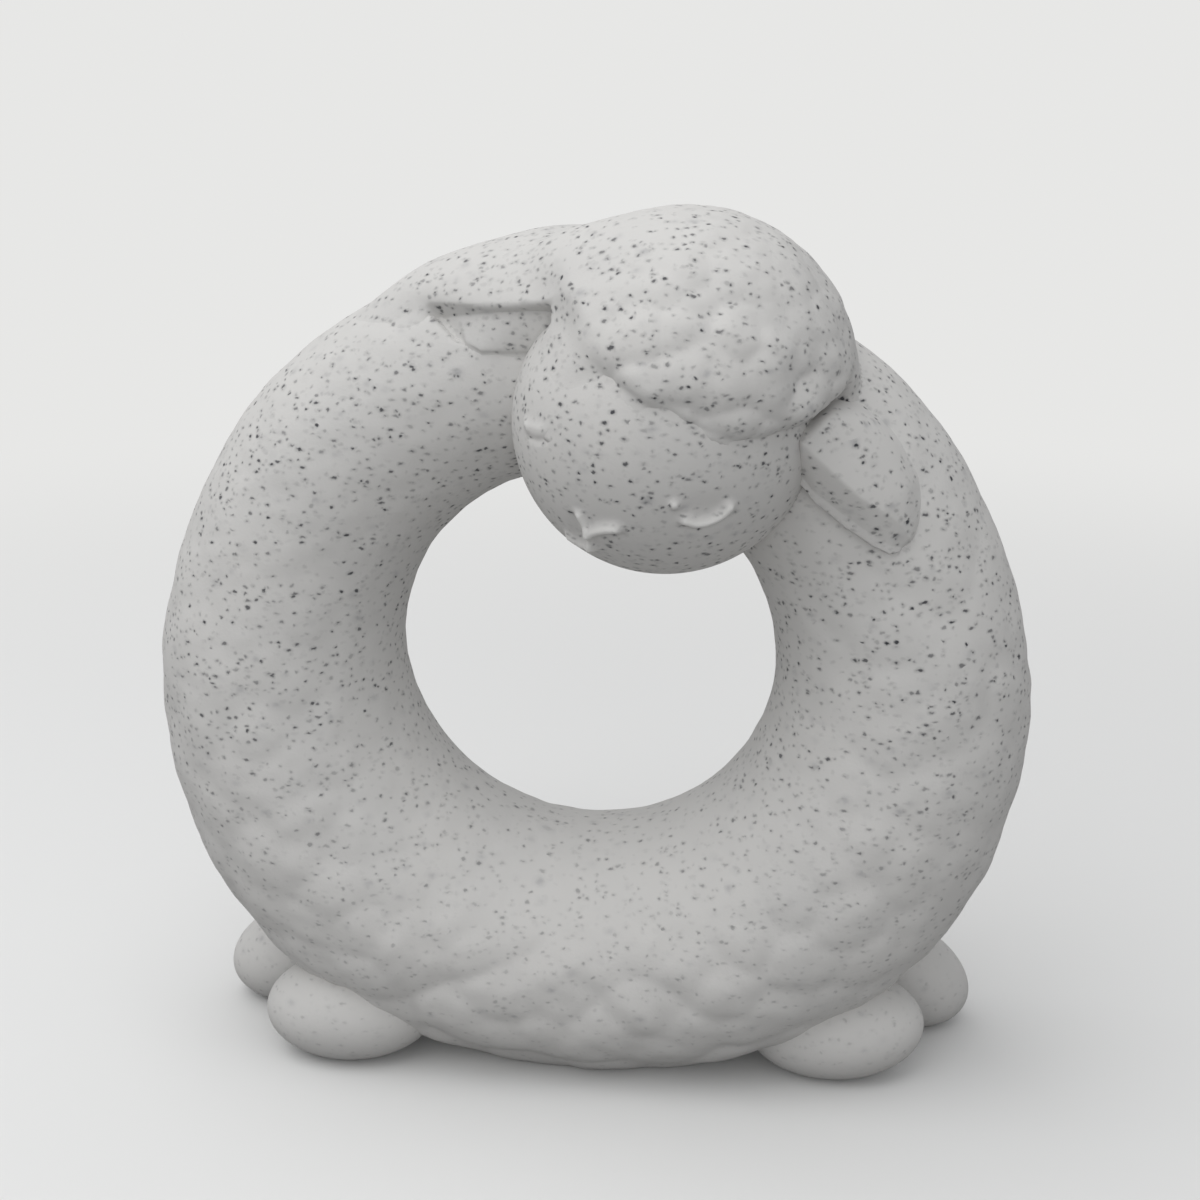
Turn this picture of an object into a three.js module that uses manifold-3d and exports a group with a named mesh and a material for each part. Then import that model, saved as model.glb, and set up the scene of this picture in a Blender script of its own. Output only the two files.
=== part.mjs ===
// Ring-shaped lamb ornament of speckled cast stone, in millimetres, +Z up, front towards -Y.
// The body is cast in two flat-backed halves. Face, fleece cap, ears and hooves are bonded on steel dowels.
import * as THREE from 'three';
import { ConvexGeometry } from 'three/addons/geometries/ConvexGeometry.js';
import { mergeVertices } from 'three/addons/utils/BufferGeometryUtils.js';
import Module from 'manifold-3d';

const wasm = await Module();
wasm.setup();

// Body ring: the outer edge and the hole are near circles that lie apart, so the belly is thick
const bodyRadius = 100.7;
const holeRadius = 43.1;
const bellyShift = 4.9;
const bellyFlat = 5.4;
const bellyFlatPower = 12;
const baseCut = 4.2;

// Glue line between castings, and the play of a dowel in its socket
const glueGap = 0.3;
const dowelPlay = 0.3;

// Face ball, set by its clock angle, its drop into the hole and its stand in front of the tube
const faceRadius = 32.4;
const faceClock = 16.9;
const faceDrop = 6.4;
const faceSink = 5.1;

// The head is bowed, turned and tipped about X, Y and Z, in degrees
const headBow = 28;
const headTurn = 16;
const headTip = -19;

// Fleece cap: a ball set from the face's centre along the head's back and top, and cut off below at a flat
// rim that falls to the back, as far back as a leaning plane inside the ring
const capRadius = 36;
const capToBack = 6.9;
const capToTop = 6.3;
const capRimRise = 19.2;
const capRimTilt = 8.5;
const capBackReach = 17;
const capBackLean = 20;
const tuftCount = 64;
const tuftHeight = 1.3;
const tuftAngle = 17;

// Closed eyelids and nose, as rounded bumps on the face ball, with their angles in degrees
const lidRadius = 5;
const lidProud = 1.4;
const lidAside = 39;
const lidRise = 10;
const noseRadius = 6;
const noseProud = 1.6;
const noseFall = 14;
const lipRadius = 4;
const lipProud = 1.2;
const lipFall = 26;

// Ears: corners as clock angle, angle round the tube from its outer edge to the front, and height
const earRoot = 2;
const leftEar = {
  lip: [[-20, 41.4, 2], [-11.1, 56.1, 6], [-2.5, 61, 8], [5, 62, 8]],
  top: [[-28, 15, 1], [-20, 15, 3.2], [-10, 15, 4.3], [5, 15, 5.5], [-20, -10, 2], [-10, -25, 2], [5, -30, 2]],
  foot: [[-20.2, 50.4, 1.5], [-17.9, 59, 1.5], [-14.1, 70.6, 2.5], [-7.8, 74.8, 3], [0, 76, 3]],
  seat: [-9, 58],
};
const rightEar = {
  lip: [[36, 79, 14], [48.4, 79.7, 8.5], [60.5, 73, 3]],
  top: [[37.8, 69.6, 12], [38, 60, 8], [41.2, 49.1, 5], [44.5, 44.7, 3.5], [53.5, 55.3, 2], [58.4, 63.1, 1.5]],
  foot: [[43.2, 91.6, 5], [52.9, 87.1, 5], [61.1, 78.9, 2]],
  seat: [49, 72],
};

// Hooves: rounded blobs on the floor that run into the belly, outer end lower
const hoofHalfLength = 21;
const hoofHalfDepth = 14;
const hoofHalfHeight = 13;
const hoofFlat = 0.8;
const hooves = [
  { name: 'front_left_hoof', clock: 213.7, forward: 13.6, tilt: 4 },
  { name: 'front_right_hoof', clock: 144.2, forward: 7.5, tilt: -4 },
  { name: 'back_left_hoof', clock: 221.5, forward: -13, tilt: 18 },
  { name: 'back_right_hoof', clock: 138.3, forward: -20, tilt: 22 },
];

// Dowels: radius, and the length in the body and in the piece that it holds
const dowelSides = 12;
const halfDowel = { radius: 3, inBody: 12, inPiece: 12 };
const headDowel = { radius: 3, inBody: 10, inPiece: 9 };
const capDowel = { radius: 2.5, inBody: 9, inPiece: 6 };
const earDowel = { radius: 1.5, inBody: 6, inPiece: 3.2 };
const hoofDowel = { radius: 2.5, inBody: 9, inPiece: 9 };
const headDowelSpread = 8;
const halfDowelClocks = { upper_right: 75, lower_right: 112, lower_left: 248, upper_left: 300 };

// Facets
const ringSteps = 84;
const tubeSteps = 20;
const faceDetail = 6;
const capDetail = 8;
const hoofDetail = 4;
const bumpDetail = 2;

// Finishes
const stone = { color: '#cfcdc9', roughness: 0.9, metalness: 0 };
const hoofStone = { color: '#c9c8c3', roughness: 0.9, metalness: 0 };
const steel = { color: '#9a9c9e', roughness: 0.4, metalness: 0.9 };

const radians = THREE.MathUtils.degToRad;
const lengthAxis = new THREE.Vector3(0, 1, 0);

// Ring rules
function outerEdge(clock) {
  const low = (1 - Math.cos(clock)) / 2;
  return bodyRadius - bellyShift * Math.cos(clock) - bellyFlat * low ** bellyFlatPower;
}

function innerEdge(clock) {
  return holeRadius + bellyShift * Math.cos(clock);
}

function tubeRadius(clock) {
  return (outerEdge(clock) - innerEdge(clock)) / 2;
}

function tubeReach(clock) {
  return (outerEdge(clock) + innerEdge(clock)) / 2;
}

// Direction out of the tube's skin, with angles in radians
function skinNormal(clock, around) {
  const out = Math.cos(around);
  return new THREE.Vector3(out * Math.sin(clock), -Math.sin(around), out * Math.cos(clock));
}

// Point at a height above the tube's skin
function skinPoint(clock, around, height) {
  const reach = tubeReach(clock);
  const centre = new THREE.Vector3(reach * Math.sin(clock), 0, reach * Math.cos(clock));
  return centre.addScaledVector(skinNormal(clock, around), tubeRadius(clock) + height);
}

const baseDrop = outerEdge(Math.PI) - baseCut;

// Solids
function solidOf(geometry) {
  geometry.deleteAttribute('normal');
  geometry.deleteAttribute('uv');
  const merged = mergeVertices(geometry);
  const vertProperties = new Float32Array(merged.attributes.position.array);
  const triVerts = new Uint32Array(merged.index.array);
  return new wasm.Manifold(new wasm.Mesh({ numProp: 3, vertProperties, triVerts }));
}

function geometryOf(solid) {
  const mesh = solid.getMesh();
  const geometry = new THREE.BufferGeometry();
  geometry.setAttribute('position', new THREE.BufferAttribute(mesh.vertProperties, 3));
  geometry.setIndex(new THREE.BufferAttribute(mesh.triVerts, 1));
  geometry.computeVertexNormals();
  return geometry;
}

function ringSolid(extra) {
  const positions = [];
  const index = [];
  for (let i = 0; i < ringSteps; i += 1) {
    const nextRow = ((i + 1) % ringSteps) * tubeSteps;
    for (let j = 0; j < tubeSteps; j += 1) {
      const clock = (i * 2 * Math.PI) / ringSteps;
      const around = (j * 2 * Math.PI) / tubeSteps;
      positions.push(...skinPoint(clock, around, extra).toArray());
      const here = i * tubeSteps + j;
      const along = nextRow + j;
      const step = (j + 1) % tubeSteps;
      const round = i * tubeSteps + step;
      const across = nextRow + step;
      index.push(here, round, along, round, across, along);
    }
  }
  const geometry = new THREE.BufferGeometry();
  geometry.setAttribute('position', new THREE.Float32BufferAttribute(positions, 3));
  geometry.setIndex(index);
  return solidOf(geometry);
}

// Ellipsoid with a turn and a place
function blobSolid(halfSizes, detail, turn, centre) {
  const geometry = new THREE.IcosahedronGeometry(1, detail);
  geometry.scale(halfSizes.x, halfSizes.y, halfSizes.z);
  geometry.applyQuaternion(turn);
  geometry.translate(centre.x, centre.y, centre.z);
  return solidOf(geometry);
}

function ballSolid(radius, detail, centre) {
  const halfSizes = new THREE.Vector3(radius, radius, radius);
  return blobSolid(halfSizes, detail, new THREE.Quaternion(), centre);
}

// Round bar from a start point along a direction
function barSolid(radius, sides, start, direction, length) {
  const geometry = new THREE.CylinderGeometry(radius, radius, length, sides);
  geometry.translate(0, length / 2, 0);
  geometry.applyQuaternion(new THREE.Quaternion().setFromUnitVectors(lengthAxis, direction));
  geometry.translate(start.x, start.y, start.z);
  return solidOf(geometry);
}

// Block that fills everything on one side of a plane across one axis
function blockShape(axis, level, sign) {
  const size = 4 * bodyRadius;
  const geometry = new THREE.BoxGeometry(size, size, size);
  const shift = new THREE.Vector3();
  shift[axis] = level + (sign * size) / 2;
  return geometry.translate(shift.x, shift.y, shift.z);
}

function blockSolid(axis, level, sign) {
  return solidOf(blockShape(axis, level, sign));
}

const belowFloor = blockSolid('z', -baseDrop, -1);
const ring = ringSolid(0).subtract(belowFloor);
const ringWithGlue = ringSolid(glueGap);

// Head frame
const headRotation = new THREE.Quaternion().setFromEuler(
  new THREE.Euler(radians(headBow), radians(headTurn), radians(headTip)),
);
const faceClockAngle = radians(faceClock);
const faceReach = tubeReach(faceClockAngle) - faceDrop;
const faceCentre = new THREE.Vector3(
  faceReach * Math.sin(faceClockAngle),
  faceSink - tubeRadius(faceClockAngle),
  faceReach * Math.cos(faceClockAngle),
);

// Direction on the face: degrees aside from the muzzle line and degrees above it
function faceDirection(aside, rise) {
  const level = Math.cos(radians(rise));
  const direction = new THREE.Vector3(
    level * Math.sin(radians(aside)),
    -level * Math.cos(radians(aside)),
    Math.sin(radians(rise)),
  );
  return direction.applyQuaternion(headRotation);
}

function faceBump(radius, proud, aside, rise) {
  const reach = faceRadius + proud - radius;
  const centre = faceCentre.clone().addScaledVector(faceDirection(aside, rise), reach);
  return ballSolid(radius, bumpDetail, centre);
}

// Face with closed eyelids, nose and lip
const faceBumps = [
  faceBump(lidRadius, lidProud, -lidAside, lidRise),
  faceBump(lidRadius, lidProud, lidAside, lidRise),
  faceBump(noseRadius, noseProud, 0, -noseFall),
  faceBump(lipRadius, lipProud, 0, -lipFall),
];
const faceBall = faceBumps.reduce(
  (whole, bump) => whole.add(bump),
  ballSolid(faceRadius, faceDetail, faceCentre),
);
const faceBallWithGlue = ballSolid(faceRadius + glueGap, faceDetail, faceCentre);

// Fleece cap with tufts laid on a golden spiral
const capOffset = new THREE.Vector3(0, capToBack, capToTop).applyQuaternion(headRotation);
const capCentre = faceCentre.clone().add(capOffset);
const goldenAngle = Math.PI * (3 - Math.sqrt(5));
const tuftDirections = Array.from({ length: tuftCount }, (unused, k) => {
  const height = 1 - (2 * k + 1) / tuftCount;
  const level = Math.sqrt(1 - height * height);
  return new THREE.Vector3(level * Math.cos(k * goldenAngle), level * Math.sin(k * goldenAngle), height);
});

function tuftRise(direction) {
  const nearest = Math.min(...tuftDirections.map((tuft) => tuft.angleTo(direction)));
  return tuftHeight * Math.max(0, 1 - (nearest / radians(tuftAngle)) ** 2);
}

// Shape in the head's own axes, brought to the face's centre
function onHead(geometry) {
  geometry.applyQuaternion(headRotation);
  return geometry.translate(faceCentre.x, faceCentre.y, faceCentre.z);
}

function capSolid(extra) {
  const geometry = new THREE.IcosahedronGeometry(1, capDetail);
  const position = geometry.attributes.position;
  const direction = new THREE.Vector3();
  for (let k = 0; k < position.count; k += 1) {
    direction.fromBufferAttribute(position, k).normalize();
    direction.multiplyScalar(capRadius + tuftRise(direction) + extra);
    position.setXYZ(k, direction.x, direction.y, direction.z);
  }
  geometry.applyQuaternion(headRotation);
  geometry.translate(capCentre.x, capCentre.y, capCentre.z);
  const belowRim = blockShape('z', capRimRise - extra, -1).rotateX(-radians(capRimTilt));
  const overFace = blockShape('y', capBackReach - extra, -1).rotateX(radians(capBackLean));
  const cut = solidOf(onHead(belowRim)).intersect(solidOf(onHead(overFace)));
  return solidOf(geometry).subtract(cut);
}

const capWithGlue = capSolid(glueGap);

// Ear wedge: lip, top edge and foot, with roots under the skin of the ring, cut clear of what it touches
function earSolid(ear) {
  const corners = [...ear.lip, ...ear.top, ...ear.foot];
  const points = corners.flatMap(([clock, around, height]) => [
    skinPoint(radians(clock), radians(around), height),
    skinPoint(radians(clock), radians(around), -earRoot),
  ]);
  const wedge = solidOf(new ConvexGeometry(points));
  return wedge.subtract(ringWithGlue).subtract(faceBallWithGlue).subtract(capWithGlue);
}

// Height of a tilted hoof's centre over the floor
function hoofLift(hoof) {
  const tilt = radians(hoof.tilt);
  return Math.hypot(hoofHalfLength * Math.sin(tilt), hoofHalfHeight * Math.cos(tilt)) - hoofFlat;
}

function hoofPlace(hoof) {
  const clock = radians(hoof.clock);
  const height = hoofLift(hoof) - baseDrop;
  const centre = new THREE.Vector3(height * Math.tan(clock), -hoof.forward, height);
  const out = height / Math.cos(clock) - tubeReach(clock);
  const around = Math.atan2(hoof.forward, out);
  return { clock, around, centre };
}

function hoofSolid(hoof) {
  const { centre } = hoofPlace(hoof);
  const halfSizes = new THREE.Vector3(hoofHalfLength, hoofHalfDepth, hoofHalfHeight);
  const lean = Math.sign(centre.x) * radians(hoof.tilt);
  const turn = new THREE.Quaternion().setFromAxisAngle(lengthAxis, lean);
  return blobSolid(halfSizes, hoofDetail, turn, centre).subtract(belowFloor);
}

// Pieces before their dowel sockets
const pieces = {
  body_front_half: ring.subtract(blockSolid('y', -glueGap / 2, 1)),
  body_back_half: ring.subtract(blockSolid('y', glueGap / 2, -1)),
  face: faceBall.subtract(ringWithGlue),
  fleece_cap: capSolid(0).subtract(ringWithGlue).subtract(faceBallWithGlue),
  left_ear: earSolid(leftEar),
  right_ear: earSolid(rightEar),
};
for (const hoof of hooves) {
  pieces[hoof.name] = hoofSolid(hoof).subtract(ringWithGlue);
}

// Dowels: each lies across the glue line at its seat and is let into both of its pieces
const dowels = {};

function setDowel(name, size, seat, direction, body, piece) {
  const start = seat.clone().addScaledVector(direction, -size.inBody);
  const length = size.inBody + size.inPiece;
  dowels[name] = barSolid(size.radius, dowelSides, start, direction, length);
  const socketStart = start.clone().addScaledVector(direction, -dowelPlay);
  const socketRadius = size.radius + dowelPlay;
  const socket = barSolid(socketRadius, dowelSides, socketStart, direction, length + 2 * dowelPlay);
  pieces[body] = pieces[body].subtract(socket);
  pieces[piece] = pieces[piece].subtract(socket);
}

function setSkinDowel(name, size, clock, around, body, piece) {
  const seat = skinPoint(clock, around, glueGap / 2);
  setDowel(name, size, seat, skinNormal(clock, around), body, piece);
}

for (const [place, clock] of Object.entries(halfDowelClocks)) {
  const angle = radians(clock);
  const seat = skinPoint(angle, 0, -tubeRadius(angle));
  setDowel(`body_dowel_${place}`, halfDowel, seat, lengthAxis, 'body_front_half', 'body_back_half');
}
for (const [place, sign] of Object.entries({ left: -1, right: 1 })) {
  const clock = radians(faceClock + sign * headDowelSpread);
  setSkinDowel(`head_dowel_${place}`, headDowel, clock, Math.PI / 2, 'body_front_half', 'face');
}
const crown = new THREE.Vector3(0, 0, 1).applyQuaternion(headRotation);
const crownSeat = faceCentre.clone().addScaledVector(crown, faceRadius + glueGap / 2);
setDowel('cap_dowel', capDowel, crownSeat, crown, 'face', 'fleece_cap');
for (const [name, ear] of Object.entries({ left_ear: leftEar, right_ear: rightEar })) {
  const [clock, around] = ear.seat.map(radians);
  setSkinDowel(`${name}_dowel`, earDowel, clock, around, 'body_front_half', name);
}
for (const hoof of hooves) {
  const { clock, around } = hoofPlace(hoof);
  const half = hoof.forward > 0 ? 'body_front_half' : 'body_back_half';
  setSkinDowel(`${hoof.name}_dowel`, hoofDowel, clock, around, half, hoof.name);
}

// Named meshes, standing on the floor and centred on their own box
const lamb = new THREE.Group();

function addMesh(name, solid, finish) {
  const mesh = new THREE.Mesh(geometryOf(solid), new THREE.MeshStandardMaterial(finish));
  mesh.name = name;
  lamb.add(mesh);
}

for (const [name, solid] of Object.entries(pieces)) {
  addMesh(name, solid, name.endsWith('hoof') ? hoofStone : stone);
}
for (const [name, solid] of Object.entries(dowels)) {
  addMesh(name, solid, steel);
}
const box = new THREE.Box3().setFromObject(lamb);
const middle = box.getCenter(new THREE.Vector3());
lamb.position.set(-middle.x, -middle.y, -box.min.z);

export default lamb;
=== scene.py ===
# Ring-shaped lamb ornament of speckled cast stone, dressed over its solids
import bpy
import bmesh
import math
import numpy as np
from mathutils import Matrix, Vector


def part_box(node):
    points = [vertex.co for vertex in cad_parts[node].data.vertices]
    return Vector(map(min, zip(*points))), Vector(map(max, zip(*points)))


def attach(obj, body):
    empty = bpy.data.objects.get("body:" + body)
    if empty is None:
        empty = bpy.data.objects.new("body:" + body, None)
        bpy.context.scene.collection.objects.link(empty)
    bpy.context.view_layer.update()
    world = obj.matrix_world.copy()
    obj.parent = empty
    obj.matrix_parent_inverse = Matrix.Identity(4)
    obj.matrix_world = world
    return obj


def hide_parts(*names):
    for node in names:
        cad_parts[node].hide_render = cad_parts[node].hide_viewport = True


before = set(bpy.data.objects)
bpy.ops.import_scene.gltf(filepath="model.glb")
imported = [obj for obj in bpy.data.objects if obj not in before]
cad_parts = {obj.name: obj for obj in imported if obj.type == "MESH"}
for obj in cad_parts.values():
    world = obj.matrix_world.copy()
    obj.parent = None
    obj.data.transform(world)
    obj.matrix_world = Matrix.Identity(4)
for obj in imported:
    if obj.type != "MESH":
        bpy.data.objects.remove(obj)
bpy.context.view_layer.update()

mm = 0.001
ringSizes = {
    "bodyRadius": 100.7, "holeRadius": 43.1, "bellyShift": 4.9,
    "bellyFlat": 5.4, "bellyFlatPower": 12, "baseDrop": 96.0,
    "clockSteps": 760, "aroundSteps": 110, "seamGap": 0.02,
    # the outline fills out low down and draws in at ten and two, in mm and degrees
    "leftSwell": 1.1, "rightSwell": 0.9, "swellClock": 125, "swellWidth": 18,
    "pinch": 1.1, "pinchClock": 71, "pinchWidth": 14,
}
headSizes = {
    "bow": 28, "turn": 16, "tip": -19,                 # degrees about x, y and z
    "faceRadius": 32.4, "faceClock": 16.9, "faceDrop": 6.4, "faceSink": 5.1,
    "capRadius": 36.3, "capOffset": (0, 6.9, 6.3),     # to the side, back and top of the head
    "rimRise": 19.2, "rimTilt": 8.5, "backReach": 17, "backLean": 20,
}


# helpers for shapes, all in millimetres from the ring's centre

def ease(x, low, high):
    t = np.clip((x - low) / (high - low), 0, 1)
    return t * t * (3 - 2 * t)


def softMin(a, b, k):
    h = np.maximum(k - np.abs(a - b), 0) / k
    return np.minimum(a, b) - h * h * k / 4


def softMax(a, b, k):
    return -softMin(-a, -b, k)


def bump(x, middle, width):
    return np.exp(-((x - middle) / width) ** 2)


def fade(x, share, low, high):
    return 1 - share * ease(x, low, high)


def mixed(a, b, t):
    return a + (b - a) * t


def wrapDegrees(a):
    return (a + 180) % 360 - 180


def outerEdge(clock):
    low = (1 - np.cos(clock)) / 2
    flat = ringSizes["bellyFlat"] * low ** ringSizes["bellyFlatPower"]
    degrees = wrapDegrees(np.degrees(clock))
    swellClock, swellWidth = ringSizes["swellClock"], ringSizes["swellWidth"]
    uneven = ringSizes["leftSwell"] * bump(degrees, -swellClock, swellWidth)
    uneven = uneven + ringSizes["rightSwell"] * bump(degrees, swellClock, swellWidth)
    uneven = uneven - ringSizes["pinch"] * bump(np.abs(degrees), ringSizes["pinchClock"], ringSizes["pinchWidth"])
    return ringSizes["bodyRadius"] - ringSizes["bellyShift"] * np.cos(clock) - flat + uneven


def innerEdge(clock):
    return ringSizes["holeRadius"] + ringSizes["bellyShift"] * np.cos(clock)


def tubeRadius(clock):
    return (outerEdge(clock) - innerEdge(clock)) / 2


def tubeReach(clock):
    return (outerEdge(clock) + innerEdge(clock)) / 2


def skinNormal(clock, around):
    out = np.cos(around)
    return np.stack([out * np.sin(clock), -np.sin(around), out * np.cos(clock)], -1)


def skinPoint(clock, around, height):
    reach = tubeReach(clock)
    centre = np.stack([reach * np.sin(clock), np.zeros_like(clock), reach * np.cos(clock)], -1)
    return centre + skinNormal(clock, around) * (tubeRadius(clock) + height)[..., None]


def ringField(p):
    clock = np.arctan2(p[..., 0], p[..., 2])
    rho = np.hypot(p[..., 0], p[..., 2])
    return np.hypot(rho - tubeReach(clock), p[..., 1]) - tubeRadius(clock)


frontLow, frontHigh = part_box("body_front_half")
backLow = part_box("body_back_half")[0]
ringCentre = np.array([
    (frontLow.x + frontHigh.x) / 2,
    (frontHigh.y + backLow.y) / 2,
    frontLow.z + ringSizes["baseDrop"] * mm,
])

turnX = Matrix.Rotation(math.radians(headSizes["bow"]), 3, "X")
turnY = Matrix.Rotation(math.radians(headSizes["turn"]), 3, "Y")
turnZ = Matrix.Rotation(math.radians(headSizes["tip"]), 3, "Z")
headAxes = np.array(turnX @ turnY @ turnZ).T           # rows: side, back, top
faceClock = np.array(math.radians(headSizes["faceClock"]))
faceReach = tubeReach(faceClock) - headSizes["faceDrop"]
faceCentre = np.array([
    faceReach * math.sin(faceClock),
    headSizes["faceSink"] - tubeRadius(faceClock),
    faceReach * math.cos(faceClock),
])
capCentre = faceCentre + np.array(headSizes["capOffset"]) @ headAxes
print("ring centre", ringCentre.round(5), "face centre", faceCentre.round(2))


# helpers for meshes

def signedVolume(points, faces):
    a, b, c = points[faces[:, 0]], points[faces[:, 1]], points[faces[:, 2]]
    total = np.einsum("ij,ij->i", a, np.cross(b, c)).sum()
    if faces.shape[1] == 4:
        d = points[faces[:, 3]]
        total += np.einsum("ij,ij->i", a, np.cross(c, d)).sum()
    return total


def makePiece(name, points, faceSets, attributes=None):
    total = sum(signedVolume(points, f) for f in faceSets)
    faces = []
    for f in faceSets:
        faces += (f if total > 0 else f[:, ::-1]).tolist()
    mesh = bpy.data.meshes.new(name)
    mesh.from_pydata((points * mm + ringCentre).tolist(), [], faces)
    mesh.polygons.foreach_set("use_smooth", np.ones(len(mesh.polygons), bool))
    for key, values in (attributes or {}).items():
        kind = "FLOAT_VECTOR" if values.ndim == 2 else "FLOAT"
        layer = mesh.attributes.new(key, kind, "POINT")
        layer.data.foreach_set("vector" if values.ndim == 2 else "value", values.astype(np.float32).ravel())
    piece = bpy.data.objects.new(name, mesh)
    bpy.context.collection.objects.link(piece)
    return piece


def ballMesh(level):
    ball = bmesh.new()
    bmesh.ops.create_icosphere(ball, subdivisions=level, radius=1)
    directions = np.array([v.co for v in ball.verts])
    faces = np.array([[v.index for v in f.verts] for f in ball.faces])
    ball.free()
    return directions / np.linalg.norm(directions, axis=1, keepdims=True), faces


def castOut(centre, directions, field, near, far, marches=48, halvings=22):
    low = np.full(len(directions), float(near))
    high = np.full(len(directions), float(far))
    found = np.zeros(len(directions), bool)
    last = low.copy()
    for step in np.linspace(near, far, marches)[1:]:
        outside = field(centre + directions * step) > 0
        fresh = outside & ~found
        low[fresh], high[fresh] = last[fresh], step
        found |= outside
        last[:] = step
    for _ in range(halvings):
        middle = (low + high) / 2
        outside = field(centre + directions * middle[:, None]) > 0
        high = np.where(outside, middle, high)
        low = np.where(outside, low, middle)
    return centre + directions * ((low + high) / 2)[:, None]


def addNode(tree, kind, links=None, **settings):
    node = tree.nodes.new(kind)
    for key, value in settings.items():
        setattr(node, key, value)
    for socket, value in (links or {}).items():
        target = node.inputs[socket]
        if isinstance(value, bpy.types.NodeSocket):
            tree.links.new(value, target)
        else:
            target.default_value = value
    return node


def mathNode(tree, operation, *values):
    return addNode(tree, "ShaderNodeMath", dict(enumerate(values)), operation=operation).outputs[0]


def noise(tree, place, scale, detail, roughness=0.5):
    sockets = {"Vector": place, "Scale": scale, "Detail": detail, "Roughness": roughness}
    return addNode(tree, "ShaderNodeTexNoise", sockets).outputs


def spread(tree, value, fromLow, fromHigh, toLow, toHigh, **settings):
    sockets = {"Value": value, 1: fromLow, 2: fromHigh, 3: toLow, 4: toHigh}
    return addNode(tree, "ShaderNodeMapRange", sockets, **settings).outputs[0]


def mixColour(tree, share, first, second):
    sockets = {"Factor": share, "A": first, "B": second}
    return addNode(tree, "ShaderNodeMix", sockets, data_type="RGBA").outputs[2]


def newMaterial(name):
    material = bpy.data.materials.new(name)
    material.use_nodes = True
    tree = material.node_tree
    return material, tree, tree.nodes["Principled BSDF"]


def newGeometryTree(name, inputs):
    tree = bpy.data.node_groups.new(name, "GeometryNodeTree")
    tree.interface.new_socket("Geometry", in_out="INPUT", socket_type="NodeSocketGeometry")
    for label, kind in inputs:
        tree.interface.new_socket(label, in_out="INPUT", socket_type=kind)
    tree.interface.new_socket("Geometry", in_out="OUTPUT", socket_type="NodeSocketGeometry")
    return tree, tree.nodes.new("NodeGroupInput"), tree.nodes.new("NodeGroupOutput")


def runTree(piece, tree, values):
    modifier = piece.modifiers.new("relief", "NODES")
    modifier.node_group = tree
    for item in tree.interface.items_tree:
        if item.in_out == "INPUT" and item.name in values:
            modifier[item.identifier] = values[item.name]
    result = bpy.data.meshes.new_from_object(piece.evaluated_get(bpy.context.evaluated_depsgraph_get()))
    piece.modifiers.clear()
    old = piece.data
    piece.data = result
    bpy.data.meshes.remove(old)


# materials

stoneLook = {
    # the paler colour of the face's raised marks is partly their fleck-free wear and partly a painted highlight where
    # their ridges catch the light
    "pale": (0.640, 0.630, 0.612, 1), "dusk": (0.560, 0.556, 0.545, 1), "wornAndHighlight": (0.760, 0.752, 0.730, 1),
    "fleck": (0.050, 0.051, 0.058, 1), "smudge": (0.330, 0.330, 0.340, 1),
    # noises by scale, detail and roughness: clouds of tint, the flecks' uneven edges and the grain
    "cloud": (34.0, 4.0, 0.6), "cloudFrom": 0.35, "cloudTo": 0.72, "cloudShare": 0.42,
    "wander": (750.0, 2.0), "shake": 0.0012,
    "grain": (1500.0, 3.0), "grainFrom": 0.3, "grainTo": 0.7, "smoothest": 0.78, "roughest": 0.94,
    "bumpStrength": 0.12, "bumpHeight": 0.0004, "gloss": 0.28,
    # a fleck's soft edge, its faint surround and its least and greatest depth
    "blur": 0.15, "faintFrom": -0.15, "faintTo": 0.05, "faintDepth": 0.23, "palest": 0.30, "darkest": 1.12,
    "smudgeBlur": 0.25, "smudgeDepth": 0.48, "bodyShare": 1.0, "hoofShare": 0.9,
    # fewer and paler flecks near the floor, between two heights in metres
    "lowShare": 0.75, "lowDepth": 0.2, "highDepth": 0.9, "lowFrom": 0.012, "lowTo": 0.1,
    # stretch, turn, cell, smallest and largest half size in metres, share of cells
    "dots": ((1, 1, 1.2), (0.2, 0.1, 0.0), 0.0021, 0.00040, 0.00067, 0.72),
    "streaks": ((0.62, 0.62, 1.15), (0.10, 0.30, 0.2), 0.0020, 0.00034, 0.00058, 0.57),
    "slants": ((0.58, 0.85, 1.1), (0.3, -0.5, 0.9), 0.0021, 0.00034, 0.00058, 0.53),
    "smudges": ((0.7, 0.7, 1.0), (0.3, 0.1, 0.4), 0.0034, 0.0003, 0.0012, 0.8),
}
steelLook = {
    "dark": (0.30, 0.31, 0.32, 1), "light": (0.42, 0.43, 0.44, 1), "drawn": (900.0, 3.0),
    "smoothest": 0.28, "roughest": 0.48,
}


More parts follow.
